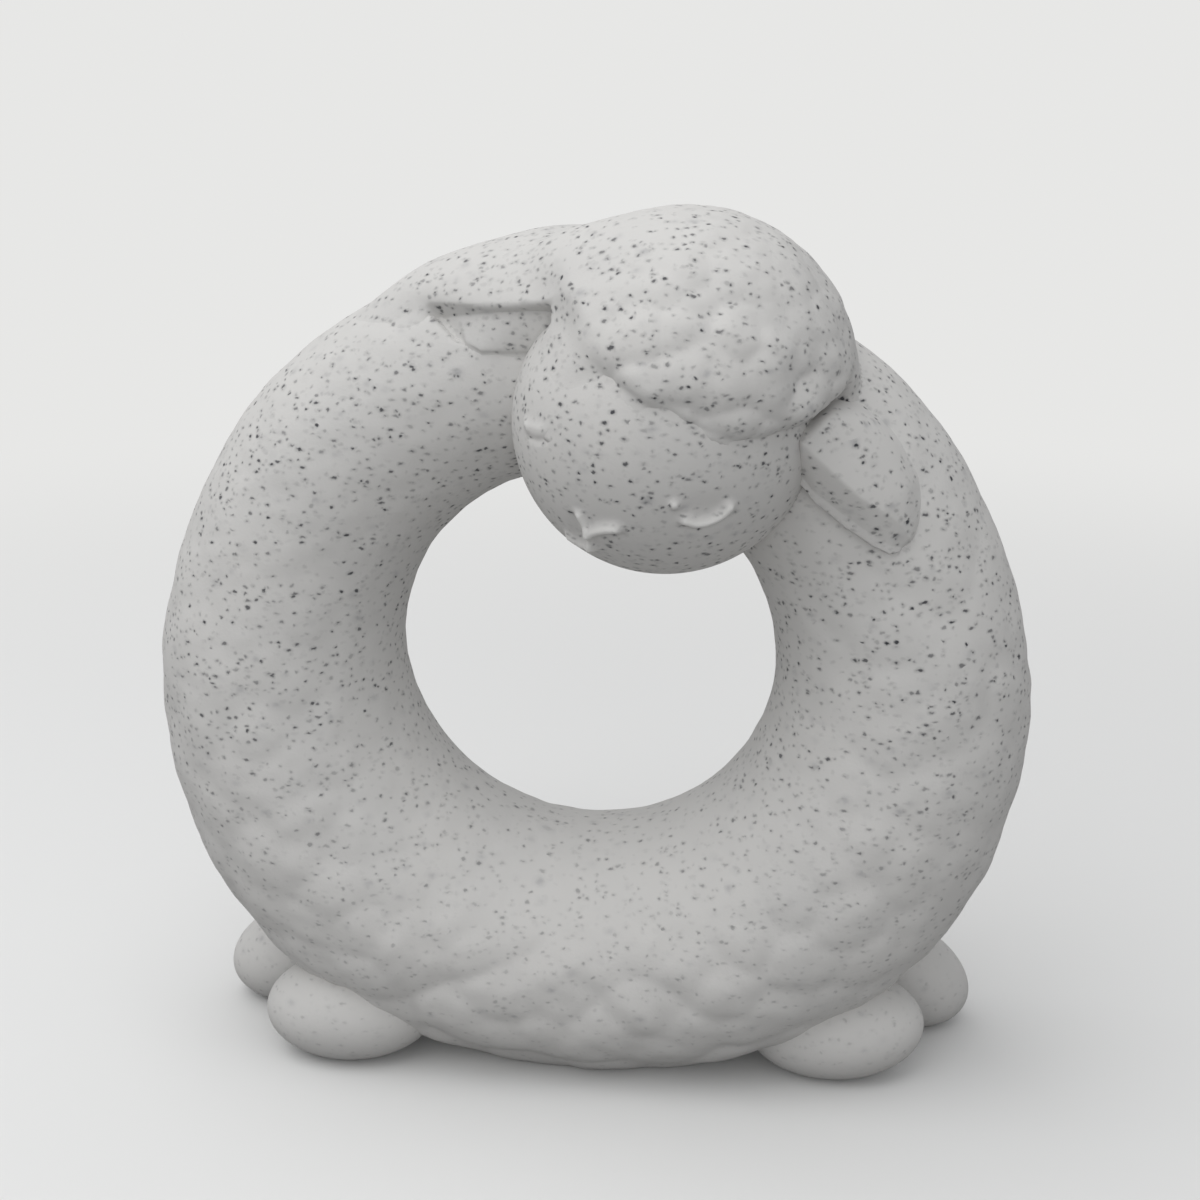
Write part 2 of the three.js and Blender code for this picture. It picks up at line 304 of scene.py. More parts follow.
def fleckLayer(tree, place, look, share, blur):
    stretch, turn, cell, small, large, kept = look
    mapping = addNode(tree, "ShaderNodeMapping", {"Vector": place, "Rotation": turn, "Scale": stretch})
    cells = addNode(tree, "ShaderNodeTexVoronoi", {"Vector": mapping.outputs[0], "Scale": 1 / cell, "Randomness": 1.0})
    luck = addNode(tree, "ShaderNodeSeparateColor", {"Color": cells.outputs["Color"]})
    size = spread(tree, luck.outputs[1], 0.0, 1.0, small / cell, large / cell)
    edge = mathNode(tree, "SUBTRACT", size, cells.outputs["Distance"])
    sharp = spread(tree, edge, 0.0, blur, 0.0, 1.0)
    faint = spread(tree, edge, stoneLook["faintFrom"], stoneLook["faintTo"], 0.0, stoneLook["faintDepth"])
    shape = mathNode(tree, "MAXIMUM", sharp, faint)
    chosen = mathNode(tree, "LESS_THAN", luck.outputs[0], mathNode(tree, "MULTIPLY", share, kept))
    depth = spread(tree, luck.outputs[2], 0.0, 1.0, stoneLook["palest"], stoneLook["darkest"])
    return mathNode(tree, "MULTIPLY", mathNode(tree, "MULTIPLY", shape, chosen), depth)


def stoneMaterial(name, fleckShare):
    material, tree, shader = newMaterial(name)
    place = addNode(tree, "ShaderNodeTexCoord").outputs["Object"]
    cloud = noise(tree, place, *stoneLook["cloud"])[0]
    tint = spread(tree, cloud, stoneLook["cloudFrom"], stoneLook["cloudTo"], 0.0, stoneLook["cloudShare"])
    colour = mixColour(tree, tint, stoneLook["pale"], stoneLook["dusk"])
    wander = noise(tree, place, *stoneLook["wander"])["Color"]
    nudge = addNode(tree, "ShaderNodeVectorMath", {0: wander, "Scale": stoneLook["shake"]}, operation="SCALE")
    shaken = addNode(tree, "ShaderNodeVectorMath", {0: place, 1: nudge.outputs[0]}, operation="ADD").outputs[0]
    height = addNode(tree, "ShaderNodeSeparateXYZ", {0: place}).outputs[2]
    low, high = stoneLook["lowFrom"], stoneLook["lowTo"]
    share = spread(tree, height, low, high, stoneLook["lowShare"] * fleckShare, fleckShare)
    deep = spread(tree, height, low, high, stoneLook["lowDepth"], stoneLook["highDepth"])
    smudges = fleckLayer(tree, shaken, stoneLook["smudges"], share, stoneLook["smudgeBlur"])
    smudges = mathNode(tree, "MULTIPLY", smudges, stoneLook["smudgeDepth"])
    colour = mixColour(tree, smudges, colour, stoneLook["smudge"])
    dark = fleckLayer(tree, shaken, stoneLook["dots"], share, stoneLook["blur"])
    for kind in ("streaks", "slants"):
        dark = mathNode(tree, "MAXIMUM", dark, fleckLayer(tree, shaken, stoneLook[kind], share, stoneLook["blur"]))
    colour = mixColour(tree, mathNode(tree, "MULTIPLY", dark, deep), colour, stoneLook["fleck"])
    # painted highlight: the raised eye and nose marks are mixed towards a paler colour, partly wear and partly light
    # caught on their ridges
    edges = addNode(tree, "ShaderNodeAttribute", attribute_name="wornAndHighlight").outputs["Fac"]
    colour = mixColour(tree, edges, colour, stoneLook["wornAndHighlight"])
    tree.links.new(colour, shader.inputs["Base Color"])
    grain = noise(tree, place, *stoneLook["grain"])[0]
    rough = spread(tree, grain, stoneLook["grainFrom"], stoneLook["grainTo"],
                   stoneLook["smoothest"], stoneLook["roughest"])
    tree.links.new(rough, shader.inputs["Roughness"])
    relief = addNode(tree, "ShaderNodeBump", {"Height": grain, "Strength": stoneLook["bumpStrength"],
                                              "Distance": stoneLook["bumpHeight"]})
    tree.links.new(relief.outputs[0], shader.inputs["Normal"])
    shader.inputs["Specular IOR Level"].default_value = stoneLook["gloss"]
    return material


def steelMaterial(name):
    material, tree, shader = newMaterial(name)
    place = addNode(tree, "ShaderNodeTexCoord").outputs["Object"]
    drawn = noise(tree, place, *steelLook["drawn"])[0]
    tree.links.new(mixColour(tree, drawn, steelLook["dark"], steelLook["light"]), shader.inputs["Base Color"])
    rough = spread(tree, drawn, 0.0, 1.0, steelLook["smoothest"], steelLook["roughest"])
    tree.links.new(rough, shader.inputs["Roughness"])
    shader.inputs["Metallic"].default_value = 1.0
    return material


bodyStone = stoneMaterial("bodyStone", stoneLook["bodyShare"])
hoofStone = stoneMaterial("hoofStone", stoneLook["hoofShare"])
dowelSteel = steelMaterial("dowelSteel")
print("materials made")


# fleece relief: soft lobes in lane coordinates, each thicker on the side that it leans to

lobeShape = {"rise": 0.35, "fall": 1.6, "waveDetail": 1.0}


def readAttribute(tree, name, kind="FLOAT_VECTOR"):
    return addNode(tree, "GeometryNodeInputNamedAttribute", {"Name": name}, data_type=kind).outputs[0]


def fleeceTree():
    sizes = ("Lobe Height", "Lobe Lean", "Lobe Scatter", "Lobe Softness", "Swell Height", "Swell Scale",
             "Grain Height", "Grain Scale", "Floor")
    inputs = [(label, "NodeSocketFloat") for label in sizes] + [("Material", "NodeSocketMaterial")]
    tree, given, result = newGeometryTree("fleeceRelief", inputs)
    lane, outward, leanWay = (readAttribute(tree, name) for name in ("lane", "outward", "leanWay"))
    wool = readAttribute(tree, "wool", "FLOAT")
    lobes = addNode(tree, "ShaderNodeTexVoronoi", {
        "Vector": lane, "Scale": 1.0, "Smoothness": given.outputs["Lobe Softness"],
        "Randomness": given.outputs["Lobe Scatter"],
    }, feature="SMOOTH_F1")
    fromMiddle = addNode(tree, "ShaderNodeVectorMath", {0: lane, 1: lobes.outputs["Position"]}, operation="SUBTRACT")
    lean = addNode(tree, "ShaderNodeVectorMath", {0: fromMiddle.outputs[0], 1: leanWay}, operation="DOT_PRODUCT")
    leaning = mathNode(tree, "MULTIPLY", lean.outputs["Value"], given.outputs["Lobe Lean"])
    square = mathNode(tree, "MULTIPLY", lobes.outputs["Distance"], lobes.outputs["Distance"])
    dome = mathNode(tree, "SUBTRACT", lobeShape["rise"], mathNode(tree, "MULTIPLY", square, lobeShape["fall"]))
    lobe = mathNode(tree, "MULTIPLY", mathNode(tree, "ADD", dome, leaning), given.outputs["Lobe Height"])
    start = addNode(tree, "GeometryNodeInputPosition").outputs[0]
    rough = []
    for kind in ("Swell", "Grain"):
        wave = noise(tree, start, given.outputs[kind + " Scale"], lobeShape["waveDetail"])[0]
        centred = mathNode(tree, "SUBTRACT", wave, 0.5)
        rough.append(mathNode(tree, "MULTIPLY", centred, given.outputs[kind + " Height"]))
    woolly = mathNode(tree, "MULTIPLY", mathNode(tree, "ADD", lobe, rough[0]), wool)
    height = mathNode(tree, "ADD", woolly, rough[1])
    offset = addNode(tree, "ShaderNodeVectorMath", {0: outward, "Scale": height}, operation="SCALE").outputs[0]
    raised = addNode(tree, "GeometryNodeSetPosition", {"Geometry": given.outputs["Geometry"], "Offset": offset})
    here = addNode(tree, "ShaderNodeSeparateXYZ", {0: addNode(tree, "GeometryNodeInputPosition").outputs[0]})
    level = mathNode(tree, "MAXIMUM", here.outputs[2], given.outputs["Floor"])
    stood = addNode(tree, "ShaderNodeCombineXYZ", {0: here.outputs[0], 1: here.outputs[1], 2: level})
    flat = addNode(tree, "GeometryNodeSetPosition", {"Geometry": raised.outputs[0], "Position": stood.outputs[0]})
    real = addNode(tree, "GeometryNodeRealizeInstances", {"Geometry": flat.outputs[0]}).outputs[0]
    clad = addNode(tree, "GeometryNodeSetMaterial", {"Geometry": real, "Material": given.outputs["Material"]})
    tree.links.new(clad.outputs[0], result.inputs[0])
    return tree


fleece = fleeceTree()


def growFleece(piece, wool):
    runTree(piece, fleece, {
        "Lobe Height": wool["height"] * mm, "Lobe Lean": wool["lean"], "Lobe Scatter": wool["scatter"],
        "Lobe Softness": wool["softness"], "Swell Height": wool["swell"] * mm, "Swell Scale": wool["swellScale"],
        "Grain Height": wool["grain"] * mm, "Grain Scale": wool["grainScale"],
        "Floor": float(frontLow.z), "Material": bodyStone,
    })


# body halves

bodyFleece = {
    "pitch": 13.5, "height": 1.9, "lean": 0.32, "scatter": 0.7, "softness": 0.5, "swell": 1.3, "swellScale": 95.0,
    "grain": 0.75, "grainScale": 125.0, "laneReach": 78, "laneSeed": 5,
    "leanWay": (-0.7, 0.7, 0),                         # lobes hang to the outer edge
    # where the wool fades: the belly by clock, then shares and degrees from the outer edge to the hole
    "belly": (105, 140), "bellyToHole": (0.8, 85, 120), "sidesToHole": (0.7, 95, 140), "hole": (125, 150),
    "underBelly": (0.85, 18, 50),
}
woolByClock = ([-180, -150, -125, -100, -80, -60, -35, 20, 45, 60, 80, 105, 130, 155, 180],
               [1.0, 1.0, 0.85, 0.5, 0.35, 0.2, 0.08, 0.0, 0.1, 0.35, 0.5, 0.6, 0.85, 1.0, 1.0])
earPocket = {                                          # hollow under the left ear's fold, in mm and degrees
    "depth": 2.4, "edge": 1, "leftEdge": (-0.4, 0.5), "rootFade": (-15, -12),
    "lip": ([-21, -20.2, -17, -14, -11], [40.2, 40.7, 47.2, 52.2, 55.8]),
    "foot": ([-20.6, -18, -16.6, -14.7, -12], [44, 61, 64.5, 69.7, 73]),
    "left": ([40, 61], [-20.9, -18.0]),
}


def pocketDepth(clock, around):
    clock, edge = wrapDegrees(clock), earPocket["edge"]
    inside = ease(around - np.interp(clock, *earPocket["lip"]), -edge, edge)
    inside = inside * ease(np.interp(clock, *earPocket["foot"]) - around, -edge, edge)
    inside = inside * ease(clock - np.interp(around, *earPocket["left"]), *earPocket["leftEdge"])
    return earPocket["depth"] * (inside * (1 - ease(clock, *earPocket["rootFade"])))


def buildHalf(name, side):
    clockSteps, aroundSteps = ringSizes["clockSteps"], ringSizes["aroundSteps"]
    clock, around = np.meshgrid(np.linspace(0, 2 * math.pi, clockSteps, endpoint=False),
                                np.linspace(0, math.pi, aroundSteps + 1), indexing="ij")
    clock, around = clock.ravel(), around.ravel() * side
    points = skinPoint(clock, around, -pocketDepth(np.degrees(clock), np.degrees(around)))
    rim = np.tile(np.arange(aroundSteps + 1), clockSteps)
    onRim = (rim == 0) | (rim == aroundSteps)
    points[:, 1] -= np.where(onRim, side * ringSizes["seamGap"], 0)
    degrees = wrapDegrees(np.degrees(clock))
    wool = np.interp(degrees, *woolByClock)
    belly = ease(np.abs(degrees), *bodyFleece["belly"])
    toHole = np.degrees(np.abs(around))
    lowShare, *lowPlace = bodyFleece["bellyToHole"]
    sideShare, *sidePlace = bodyFleece["sidesToHole"]
    underShare, *underPlace = bodyFleece["underBelly"]
    wool *= 1 - belly * lowShare * ease(toHole, *lowPlace) - (1 - belly) * sideShare * ease(toHole, *sidePlace)
    wool *= (1 - ease(toHole, *bodyFleece["hole"])) * (1 - underShare * belly * (1 - ease(toHole, *underPlace)))
    along, across = clock * bodyFleece["laneReach"], around * tubeRadius(clock)
    seed = np.full_like(along, bodyFleece["laneSeed"])
    lane = np.stack([along + across, along - across, seed], -1) / (bodyFleece["pitch"] * math.sqrt(2))
    outward = skinNormal(clock, around)
    leanWay = np.array(bodyFleece["leanWay"]) * (side * belly)[:, None]
    i, j = np.meshgrid(np.arange(clockSteps), np.arange(aroundSteps), indexing="ij")
    i, j = i.ravel(), j.ravel()
    row, nextRow = i * (aroundSteps + 1), ((i + 1) % clockSteps) * (aroundSteps + 1)
    skin = np.stack([row + j, nextRow + j, nextRow + j + 1, row + j + 1], -1)
    row, nextRow = row[::aroundSteps], nextRow[::aroundSteps]
    backing = np.stack([row + aroundSteps, nextRow + aroundSteps, nextRow, row], -1)
    piece = makePiece(name, points, [skin, backing], {
        "outward": outward, "lane": lane, "leanWay": leanWay, "wool": wool,
    })
    edges = np.zeros(len(piece.data.edges) * 2, int)
    piece.data.edges.foreach_get("vertices", edges)
    edges = edges.reshape(-1, 2)
    sharp = piece.data.attributes.new("sharp_edge", "BOOLEAN", "EDGE")
    sharp.data.foreach_set("value", onRim[edges[:, 0]] & onRim[edges[:, 1]])
    growFleece(piece, bodyFleece)
    return piece


frontHalf = buildHalf("bodyFrontHalf", 1)
backHalf = buildHalf("bodyBackHalf", -1)
print("body halves", len(frontHalf.data.polygons), len(backHalf.data.polygons))


# face, a ball with closed eyes, nose and mouth

faceSizes = {
    "level": 7, "crowd": 0.45, "crowdAt": (4, -4),     # points crowd round a spot, degrees aside and up
    # the last three: where raised strokes turn paler and by how much, part wear and part painted highlight
    "strokeSteps": 10, "wornAndHighlightFrom": 0.35, "wornAndHighlightTo": 0.9, "wornAndHighlightShare": 0.85,
}
faceStrokes = {                                        # path in degrees aside and up, half width and height in mm
    "right lid": ([(30.5, 4.5), (34, 3.6), (37.5, 4.2), (41.1, 5.8), (44.1, 8.2), (45.5, 10.7)], 1.2, 1.4),
    "right lid shade": ([(30.5, 1.8), (34.3, 0.8), (38.3, 1.4), (42.4, 3.2), (45.8, 5.8)], 0.9, -0.45),
    "right eye": ([(33, 9.5), (39.5, 10.5)], 3.2, -0.4),
    "right tear": ([(24.9, 10.5)], 1.05, 1.0),
    "left lid": ([(-42, 5.5), (-38, 7.6), (-34.5, 10)], 1.5, 0.38),
    "left lid edge": ([(-44, 5.2), (-41.2, 4.4)], 0.8, 0.3),
    "left lid shade": ([(-38.8, 2.2), (-34, 5.1), (-30.5, 8.6), (-29.3, 11.8)], 0.75, -0.35),
    "nose top": ([(-6.6, -9.5), (-3.1, -13.2)], 1.2, 1.1),
    "nose wing": ([(-1.6, -15.8), (2.3, -10.9), (5, -8.5), (7.8, -6.8)], 1.35, 1.5),
    "nose stem": ([(-1.2, -16), (-0.6, -25)], 1.0, 0.8),
    "lip": ([(-10.5, -28.5), (-5.4, -28.7), (0.3, -25.5)], 1.4, 1.2),
    "under nose": ([(3, -15.8), (7.2, -12.1), (10.6, -10)], 0.9, -0.6),
    "beside nose": ([(-9, -14), (-6.5, -21)], 1.3, -0.4),
}


def faceWay(aside, rise):
    a, r = np.radians(aside), np.radians(rise)
    return np.stack([np.cos(r) * np.sin(a), -np.cos(r) * np.cos(a), np.sin(r)], -1)


def faceRelief(directions):
    local = directions @ headAxes.T
    height, wornAndHighlight = np.zeros(len(local)), np.zeros(len(local))
    for path, halfWidth, rise in faceStrokes.values():
        spots = np.array(path, float)
        t = np.linspace(0, len(spots) - 1, faceSizes["strokeSteps"] * len(spots))
        ways = faceWay(*(np.interp(t, np.arange(len(spots)), spots[:, k]) for k in (0, 1)))
        away = np.arccos(np.clip((local @ ways.T).max(1), -1, 1)) * headSizes["faceRadius"]
        stroke = np.exp(-(away / halfWidth) ** 2)
        height += rise * stroke
        # raised strokes get a paler mark, part wear and part a painted highlight on their ridges
        rubbedAndLit = np.clip(rise, 0, 1) * ease(stroke, faceSizes["wornAndHighlightFrom"], faceSizes["wornAndHighlightTo"])
        wornAndHighlight = np.maximum(wornAndHighlight, rubbedAndLit * faceSizes["wornAndHighlightShare"])
    return height, wornAndHighlight


def buildFace():
    directions, faces = ballMesh(faceSizes["level"])
    directions = directions + faceWay(*faceSizes["crowdAt"]) @ headAxes * faceSizes["crowd"]   # finer at the muzzle
    directions /= np.linalg.norm(directions, axis=1, keepdims=True)
    height, wornAndHighlight = faceRelief(directions)
    points = faceCentre + directions * (headSizes["faceRadius"] + height)[:, None]
    return makePiece("facePiece", points, [faces], {"wornAndHighlight": wornAndHighlight})


facePiece = buildFace()
facePiece.data.materials.append(bodyStone)
print("face", len(facePiece.data.polygons))


# ears, thick leaves folded on the ring, as rails from tip to root: place along, clock, around and height

leftEar = {
    "back": [(0, -34, -2, -0.8), (0.25, -21, -24, -0.8), (0.5, -11, -34, -0.8), (0.8, -1, -40, -0.8),
             (1, 7, -42, -0.8)],
    "crest": [(0, -33, 14, -0.3), (0.1, -27, 15, 1.9), (0.25, -20, 15, 3.9), (0.38, -15, 15, 4.5), (0.5, -10, 15, 5.2),
              (0.65, -5, 15, 6.4), (0.8, 0, 15, 6.6), (1, 8, 15, 6.6)],
    "lip": [(0, -31, 36, -0.6), (0.06, -26, 39, 0.0), (0.09, -23.4, 39.7, 0.5), (0.12, -20.9, 40.2, 1.6),
            (0.14, -20.2, 40.7, 2.0), (0.17, -19.1, 43, 2.4),
            (0.25, -17, 47.2, 3.3), (0.36, -14, 52.2, 4.6), (0.47, -11.2, 55.8, 5.7), (0.58, -8.3, 58.3, 6.6),
            (0.69, -5.5, 59.8, 7.4), (0.8, -2.5, 61, 8), (1, 5, 62, 8.4)],
    "shelf": [(0, -31, 46, -0.7), (0.06, -25.5, 52, -0.4), (0.09, -23.2, 51, -0.3), (0.12, -20.8, 45, 0.1),
              (0.14, -20, 43.8, -1.9), (0.17, -19, 45.6, -1.9),
              (0.25, -17.2, 49.9, -0.3), (0.36, -14.4, 53.9, 1.5), (0.47, -11.5, 57.1, 3.2), (0.58, -8.6, 59.1, 4.9),
              (0.69, -5.7, 60.4, 6.3), (0.8, -2.7, 61.3, 7.4), (1, 5, 62.5, 7.8)],
    "foot": [(0, -31, 54, -0.9), (0.09, -22.8, 57, -0.9), (0.12, -20.5, 52, -1.1), (0.14, -19.5, 54, -2.3),
             (0.17, -18.4, 58, -2.2),
             (0.25, -16.7, 63.5, -1.2), (0.3, -16.1, 65.5, 0.3), (0.36, -14.7, 69.7, 0.9), (0.4, -14.2, 71.6, 1.1),
             (0.58, -10.8, 74, 1.2), (0.69, -8, 75.2, 1.3), (0.8, -6.3, 75.7, 1.6), (1, 2, 77, 2.4)],
    "apron": (0.9, 12, 0.26),                          # step down in mm, slope in degrees, and where the step starts
    "backRound": 14.0, "backSoft": 1.0,                # mm over which the back edge rises, and its power
}
rightEar = {
    "back": [(0, 61.6, 64.5, -0.8), (0.06, 60.9, 61, -0.7), (0.15, 58.6, 50, -0.6), (0.3, 54, 41.5, -0.5),
             (0.5, 48.9, 38, -0.3), (0.7, 44.8, 38.5, 0.4), (0.85, 41.4, 42.5, 1.4), (0.95, 38.9, 48.5, 2.2),
             (1, 37.8, 53, 0.8)],
    "crest": [(0, 61.7, 66.2, -1.5), (0.03, 61.1, 66, -0.2), (0.06, 60.6, 65, 0.9), (0.15, 58.1, 60, 2.0),
              (0.3, 54, 58, 3.4), (0.5, 48.9, 58.5, 4.8), (0.7, 44.6, 59.5, 6.2), (0.85, 41.2, 61, 7.6),
              (0.94, 38.4, 63.5, 8.8), (1, 37, 64.5, 3.8)],
    "lip": [(0, 61.8, 67.5, -1.5), (0.03, 61.1, 68, 0.3), (0.06, 60.3, 68.4, 1.9), (0.16, 57.4, 70.2, 3.8),
            (0.3, 54, 74.3, 5.9), (0.45, 50.2, 78, 7.5), (0.6, 46.5, 79.2, 8.6), (0.72, 44, 79.7, 9.3),
            (0.86, 40.7, 79.9, 10.4), (0.94, 37.8, 79.5, 11.2), (1, 36.2, 79, 6.8)],
    "shelf": [(0, 61.7, 69.5, -1.6), (0.03, 61.4, 71, -0.4), (0.06, 61, 72.6, 0.7), (0.15, 59.8, 77, 1.7),
              (0.3, 57.1, 81.4, 2.7), (0.6, 51.4, 86.8, 3.5), (0.85, 45.2, 90, 4.0), (1, 39.4, 88.4, 4.0)],
    "foot": [(0, 61.7, 70.5, -1.7), (0.03, 61.6, 72.4, -0.6), (0.06, 61.5, 74.4, 0.6), (0.15, 61, 78.9, 1.3),
             (0.3, 58.5, 83.9, 1.9), (0.6, 53.3, 89.9, 2.5), (0.85, 46.9, 93.4, 3.0), (0.95, 42.5, 92.2, 3.4),
             (1, 40.4, 91, 3.6)],
    "apron": (9, 1.5, -1), "backRound": 9.0, "backSoft": 0.5,
}
earSteps = {
    "along": 180, "crown": 90, "ledge": 18, "inner": 18, "wall": 5, "apron": 14, "under": 4,
    "crownRounds": 30, "edgeRounds": 5, "sectionRounds": 3,            # rounds of softening
    "root": -1.5, "sunk": 0.8, "tubeRound": 25, "leastWidth": 1e-6,    # in mm
    "stepOut": 1.0, "stepRun": 0.14, "stepLow": -0.9,                  # degrees, share of the length, mm
}


def followRail(rail, s):
    table = np.array(rail, float)
    return np.stack([np.interp(s, table[:, 0], table[:, k]) for k in (1, 2, 3)], -1)


def softenRun(values, rounds):
    for _ in range(rounds):
        inner = values.copy()
        inner[1:-1] = values[1:-1] * 0.5 + (values[:-2] + values[2:]) * 0.25
        values = inner
    return values


def between(a, b, count):
    t = np.linspace(0, 1, count + 1)[1:, None]
    return a * (1 - t) + b * t


def buildEar(name, ear):
    s = np.linspace(0, 1, earSteps["along"])
    back, crest = (softenRun(followRail(ear[k], s), earSteps["crownRounds"]) for k in ("back", "crest"))
    lip, shelf, foot = (softenRun(followRail(ear[k], s), earSteps["edgeRounds"]) for k in ("lip", "shelf", "foot"))
    drop, reach, start = ear["apron"]
    sunk = earSteps["sunk"]
    rows = []
    for k in range(len(s)):
        t = np.linspace(0, 1, earSteps["crown"])[:, None]
        crown = back[k] * (1 - t) * (1 - 2 * t) + crest[k] * 4 * t * (1 - t) + lip[k] * t * (2 * t - 1)
        width = abs(lip[k, 1] - back[k, 1]) * math.pi / 180 * earSteps["tubeRound"] + earSteps["leastWidth"]
        lift = ease(t[:, 0] * width, 0, min(ear["backRound"], width)) ** ear["backSoft"]
        crown[:, 2] = (crown[:, 2] + sunk) * lift - sunk
        fall = max(-drop * ease(s[k], start, start + earSteps["stepRun"]), earSteps["stepLow"] - foot[k, 2])
        step = foot[k] + np.array([0, earSteps["stepOut"], fall])
        low = np.array([foot[k, 0], foot[k, 1] + reach, earSteps["root"]])
        shown = np.concatenate([
            crown, between(lip[k], shelf[k], earSteps["ledge"]), between(shelf[k], foot[k], earSteps["inner"]),
            between(foot[k], step, earSteps["wall"]), between(step, low, earSteps["apron"]),
        ])
        shown = softenRun(shown, earSteps["sectionRounds"])
        under = between(shown[-1], shown[0], earSteps["under"] + 1)[:-1]
        under[:, 2] = earSteps["root"]
        rows.append(np.concatenate([shown, under]))
    grid = np.stack(rows)
    rowLength = grid.shape[1]
    flat = grid.reshape(-1, 3)
    points = skinPoint(np.radians(flat[:, 0]), np.radians(flat[:, 1]), flat[:, 2])
    ends = [points[:rowLength].mean(0), points[-rowLength:].mean(0)]
    i, j = np.meshgrid(np.arange(len(s) - 1), np.arange(rowLength), indexing="ij")
    i, j = i.ravel(), j.ravel()
    after = (j + 1) % rowLength
    row, nextRow = i * rowLength, (i + 1) * rowLength
    skin = np.stack([row + j, nextRow + j, nextRow + after, row + after], -1)
    j = np.arange(rowLength)
    after = (j + 1) % rowLength
    lastRow = (len(s) - 1) * rowLength
    tipFan = np.stack([np.full(rowLength, len(points)), j, after], -1)
    rootFan = np.stack([np.full(rowLength, len(points) + 1), lastRow + after, lastRow + j], -1)
    piece = makePiece(name, np.concatenate([points, ends]), [skin, tipFan, rootFan])
    piece.data.materials.append(bodyStone)
    return piece


leftEarPiece = buildEar("leftEar", leftEar)
rightEarPiece = buildEar("rightEar", rightEar)
print("ears", len(leftEarPiece.data.polygons), len(rightEarPiece.data.polygons))


# fleece cap, rolled over the face at its rim and running softly into the ring

capFleece = {
    "pitch": 8.0, "height": 1.5, "lean": 0.35, "scatter": 0.9, "softness": 0.4, "swell": 2.2, "swellScale": 95.0,
    "grain": 0.65, "grainScale": 150.0,
    # where the wool fades, in mm: off the neck, in the run-out, behind, up from the rim and to the left
    "offNeck": (0.5, 8.0), "runOut": (0.6, 4, 3), "behind": 0.45, "toFront": (-14, 10),
    "upFade": (0.4, 9, 26), "leftFade": (0.7, 6, 18), "plainFrom": (0.1, 1.0),
    # the ball: rays from its heart, in mm from and to, and where its wall is thinner
    "level": 7, "heart": (0, 13, 27), "cast": (1.0, 64.0), "thin": 4.5, "thinSide": (9, 23), "thinRise": (0, 10),
    # the rim, and its scallops by height, pace and start
    "rimRound": 7.0, "rimDrop": 3.2, "rimSlant": 0.055, "rightLift": 0.045, "rightFrom": 20,
    "scallops": ((0.35, 0.36, 1.9), (0.3, 0.71, 0.6)),
    # soft run-out to the neck and the face
    "flare": 6.0, "frontFlare": 16.0, "frontFrom": (16, 38), "neckSoft": 1.0, "neckSide": (-8, 12),
    "faceFlare": 7.0, "faceSoft": 0.8, "faceSide": (8, 19), "faceGap": 0.03,
    # the left ear's crown below the cap, and the room kept for its pocket, in mm and degrees
    "crownWidth": 45, "lipFall": 0.5, "crownFade": (12, 30), "crownClear": 0.06, "neckLow": -0.5,
    "pastLip": 1.2, "perAround": 0.43, "pocketEnd": -2.2, "perClock": 1.45, "pocketCorner": 2.6, "pocketRound": 0.8,
}


def headPlace(p):
    return (p - faceCentre) @ headAxes.T


def overRim(place):
    tilt = math.radians(headSizes["rimTilt"])
    side, back, top = place[..., 0], place[..., 1], place[..., 2]
    scallop = sum(rise * np.sin(side * pace + start) for rise, pace, start in capFleece["scallops"])
    rim = headSizes["rimRise"] - capFleece["rimDrop"] - capFleece["rimSlant"] * side - scallop
    rim = rim + capFleece["rightLift"] * np.maximum(side - capFleece["rightFrom"], 0) ** 2
    return top * math.cos(tilt) + back * math.sin(tilt) - rim


def capField(p):
    place = headPlace(p)
    shell = np.linalg.norm(place - np.array(headSizes["capOffset"]), axis=-1) - headSizes["capRadius"]
    lean = math.radians(headSizes["backLean"])
    over = overRim(place)
    thin = capFleece["thin"] * ease(-place[..., 0], *capFleece["thinSide"])
    shell = shell + thin * (1 - ease(over, *capFleece["thinRise"]))
    behind = place[..., 1] * math.cos(lean) + place[..., 2] * math.sin(lean) - headSizes["backReach"]
    return softMax(shell, -np.maximum(over, behind), capFleece["rimRound"])


def crownHeight(clock, around):
    back, crest, lip = (np.array(leftEar[k], float) for k in ("back", "crest", "lip"))
    backAt, crestAt, lipAt = (np.interp(clock, rail[:, 1], rail[:, 2]) for rail in (back, crest, lip))
    crestRise, lipRise = (np.interp(clock, rail[:, 1], rail[:, 3]) for rail in (crest, lip))
    toCrest = 0.5 * (around - backAt) / (crestAt - backAt)
    toLip = 0.5 + 0.5 * (around - crestAt) / (lipAt - crestAt)
    t = np.clip(np.where(around < crestAt, toCrest, toLip), 0, 1)
    sunk = earSteps["sunk"]
    rise = -sunk * (1 - t) * (1 - 2 * t) + crestRise * 4 * t * (1 - t) + lipRise * t * (2 * t - 1)
    rise = (rise + sunk) * ease(t * capFleece["crownWidth"], 0, leftEar["backRound"]) - sunk
    rise -= capFleece["lipFall"] * np.maximum(around - lipAt, 0)
    return rise * (1 - ease(clock, *capFleece["crownFade"])) - capFleece["crownClear"]


def ringPlace(p):
    clock = np.arctan2(p[..., 0], p[..., 2])
    around = np.arctan2(-p[..., 1], np.hypot(p[..., 0], p[..., 2]) - tubeReach(clock))
    return np.degrees(clock), np.degrees(around)


def neckField(p):
    return ringField(p) - np.maximum(crownHeight(*ringPlace(p)), capFleece["neckLow"])


def pocketRoom(p):
    clock, around = ringPlace(p)
    lip = np.array(leftEar["lip"], float)
    past = (around - np.interp(clock, lip[:, 1], lip[:, 2]) - capFleece["pastLip"]) * capFleece["perAround"]
    atEnd = (capFleece["pocketEnd"] - clock) * capFleece["perClock"]
    return np.minimum(past, atEnd - np.maximum(past - capFleece["pocketCorner"], 0))


